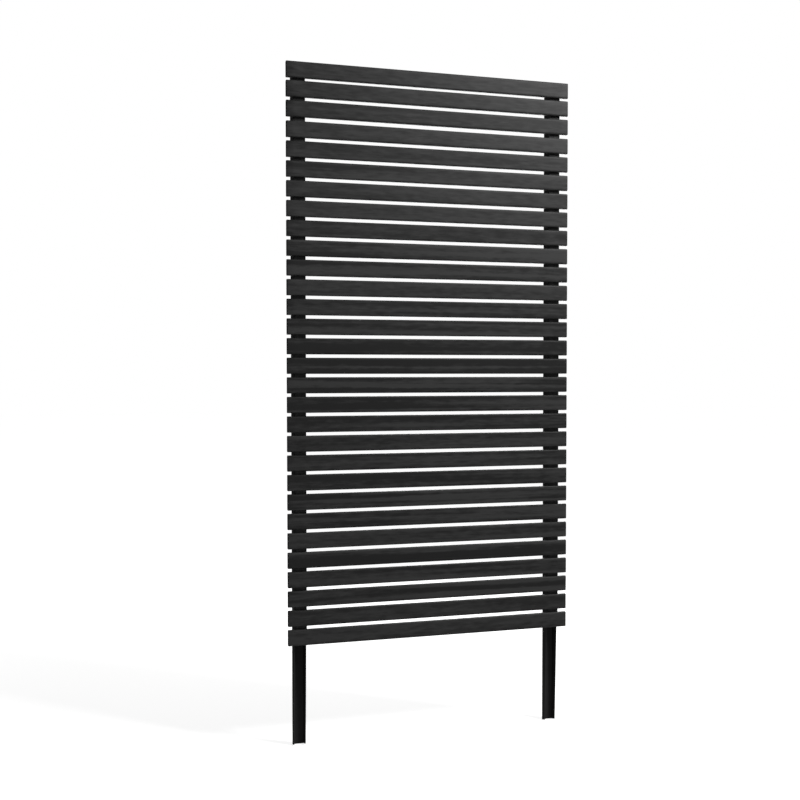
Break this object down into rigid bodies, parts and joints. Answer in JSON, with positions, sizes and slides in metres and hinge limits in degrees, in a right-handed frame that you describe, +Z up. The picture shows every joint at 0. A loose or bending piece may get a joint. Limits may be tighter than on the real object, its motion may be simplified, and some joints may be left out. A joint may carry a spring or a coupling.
{
  "type": "privacy screen",
  "caption": "Upright outdoor privacy screen of black-stained horizontal wooden slats on two folded steel channel posts that run on below as open legs for fixing.",
  "frame": {"origin": "middle of the bounding box at the feet of the legs", "axes": "+X along the slats, +Y from the slats' faces to the back of the posts, +Z up"},
  "size_m": [0.9, 0.052, 2.0045],
  "materials": {
    "stained_wood": "black stain, satin",
    "batten_wood": "black stain, matt",
    "powder_coated_steel": "black powder coat, satin",
    "screw_steel": "black phosphate"
  },
  "bodies": {
    "root": {"slat_01": "stained_wood", "slat_02": "stained_wood", "slat_03": "stained_wood", "slat_04": "stained_wood", "slat_05": "stained_wood", "slat_06": "stained_wood", "slat_07": "stained_wood", "slat_08": "stained_wood", "slat_09": "stained_wood", "slat_10": "stained_wood", "slat_11": "stained_wood", "slat_12": "stained_wood", "slat_13": "stained_wood", "slat_14": "stained_wood", "slat_15": "stained_wood", "slat_16": "stained_wood", "slat_17": "stained_wood", "slat_18": "stained_wood", "slat_19": "stained_wood", "slat_20": "stained_wood", "slat_21": "stained_wood", "slat_22": "stained_wood", "slat_23": "stained_wood", "slat_24": "stained_wood", "slat_25": "stained_wood", "slat_26": "stained_wood", "slat_27": "stained_wood", "slat_28": "stained_wood", "slat_29": "stained_wood", "slat_30": "stained_wood", "left_post": "powder_coated_steel", "left_batten": "batten_wood", "left_post_screws": "screw_steel", "right_post": "powder_coated_steel", "right_batten": "batten_wood", "right_post_screws": "screw_steel"}
  },
  "joints": []
}
